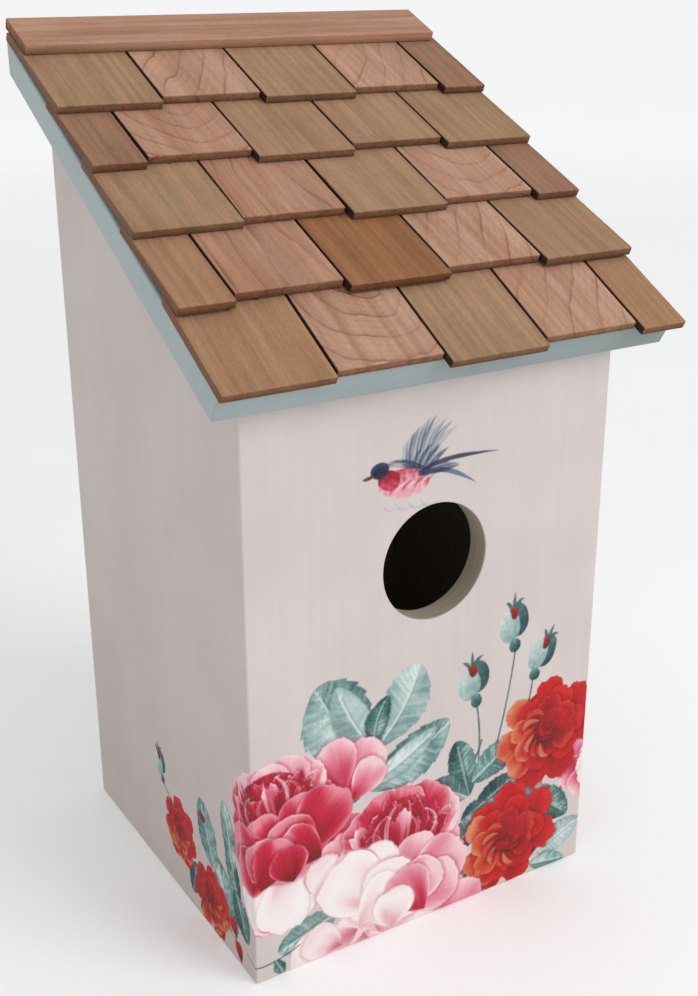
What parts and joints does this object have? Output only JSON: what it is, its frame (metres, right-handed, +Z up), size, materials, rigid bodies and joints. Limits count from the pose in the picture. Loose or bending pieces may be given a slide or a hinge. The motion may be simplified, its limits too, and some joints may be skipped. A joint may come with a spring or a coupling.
{
  "type": "birdhouse",
  "caption": "Painted wooden nest box with a round entrance, a sloping cedar-shingled roof, floral decoration and a back wall that pulls off for cleaning.",
  "frame": {"origin": "middle of the box's base, on the underside of the floor panel", "axes": "+X to the right seen from the front, +Y from the front wall to the back wall, +Z up"},
  "size_m": [0.157, 0.1483, 0.2883],
  "materials": {
    "cream_paint": "matt cream-white paint on wood with brush marks and painted flowers",
    "aqua_paint": "satin grey-aqua paint on wood",
    "olive_cedar": "raw olive-tan cedar, fine sawn grain",
    "pink_cedar": "raw pinkish cedar, wavy grain",
    "bare_wood": "unpainted sawn wood",
    "steel": "zinc-plated steel"
  },
  "bodies": {
    "house": {"front_panel": "cream_paint", "left_side": "cream_paint", "right_side": "cream_paint", "floor_panel": "bare_wood", "left_cleat": "bare_wood", "right_cleat": "bare_wood", "roof_board": "aqua_paint", "ridge_cap": "pink_cedar", "shingle_1a": "olive_cedar", "shingle_1b": "pink_cedar", "shingle_1c": "olive_cedar", "shingle_1d": "pink_cedar", "shingle_1e": "olive_cedar", "shingle_2a": "olive_cedar", "shingle_2b": "pink_cedar", "shingle_2c": "olive_cedar", "shingle_2d": "pink_cedar", "shingle_2e": "olive_cedar", "shingle_3a": "olive_cedar", "shingle_3b": "pink_cedar", "shingle_3c": "olive_cedar", "shingle_3d": "pink_cedar", "shingle_3e": "olive_cedar", "shingle_4a": "olive_cedar", "shingle_4b": "pink_cedar", "shingle_4c": "olive_cedar", "shingle_4d": "pink_cedar", "shingle_4e": "olive_cedar", "shingle_5a": "olive_cedar", "shingle_5b": "pink_cedar", "shingle_5c": "olive_cedar", "shingle_5d": "pink_cedar", "shingle_5e": "olive_cedar", "front_nails": "steel", "floor_nails": "steel", "cleat_nails": "steel", "roof_nails": "steel", "cap_nails": "steel", "shingle_brads": "steel"},
    "clean_out": {"back_panel": "cream_paint", "back_screws": "steel"}
  },
  "joints": [
    {"name": "clean_out_slide", "type": "slide", "parent": "house", "child": "clean_out", "axis": [0, 1, 0], "range_m": [0, 0.12]}
  ]
}
